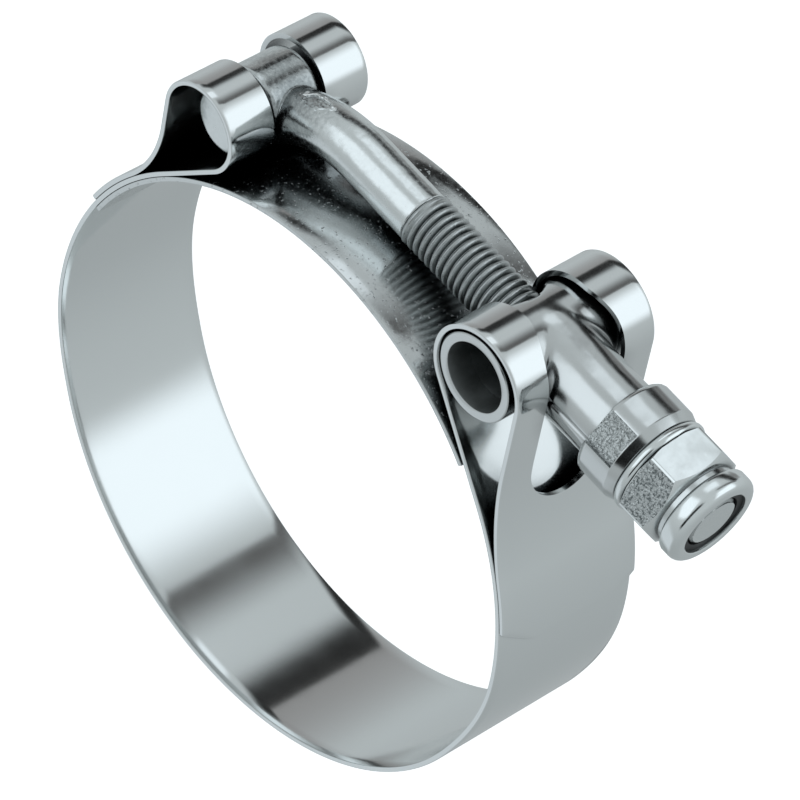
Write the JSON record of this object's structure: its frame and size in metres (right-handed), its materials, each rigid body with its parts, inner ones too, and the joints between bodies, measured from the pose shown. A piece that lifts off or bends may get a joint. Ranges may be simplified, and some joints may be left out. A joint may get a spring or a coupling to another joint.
{
  "type": "t-bolt clamp",
  "caption": "Band clamp for hoses and pipes: a looped sheet strip closed by a T-bolt, a swivelling trunnion and a lock nut.",
  "frame": {"origin": "centre of the circle that grips the hose", "axes": "+Y along the hose, +Z from the centre towards the bolt, +X towards the nut end of the bolt"},
  "size_m": [0.0862, 0.019, 0.077],
  "materials": {
    "polished_strip": "polished stainless strip",
    "turned_steel": "turned stainless steel",
    "plated_steel": "satin plated steel",
    "dark_insert": "dark moulded ring"
  },
  "bodies": {
    "band": {"main_band": "polished_strip", "tongue": "polished_strip"},
    "bolt": {"t_bolt": "plated_steel"},
    "trunnion": {"trunnion": "turned_steel"},
    "insert": {"nut_insert": "dark_insert"},
    "nut": {"lock_nut": "plated_steel"}
  },
  "joints": [
    {"name": "t_bolt_swing", "type": "hinge", "parent": "band", "child": "bolt", "pos_m": [-0.01805, 0, 0.0361], "axis": [0, 1, 0], "range_deg": [-0.5, 0.5]},
    {"name": "trunnion_swing", "type": "hinge", "parent": "band", "child": "trunnion", "pos_m": [0.02375, 0, 0.03585], "axis": [0, 1, 0], "range_deg": [-0.5, 0.5]},
    {"name": "nut_travel", "type": "slide", "parent": "bolt", "child": "insert", "axis": [0.9923, 0, -0.1236], "range_m": [0, 0.00364]},
    {"name": "nut_turn", "type": "hinge", "parent": "insert", "child": "nut", "pos_m": [0.02375, 0, 0.03585], "axis": [0.9923, 0, -0.1236], "range_deg": [0, 1440]}
  ],
  "couplings": [
    {"joint": "trunnion_swing", "follows": "t_bolt_swing", "ratio": 1},
    {"joint": "nut_travel", "follows": "nut_turn", "m_per_rad": 0.00014437}
  ]
}
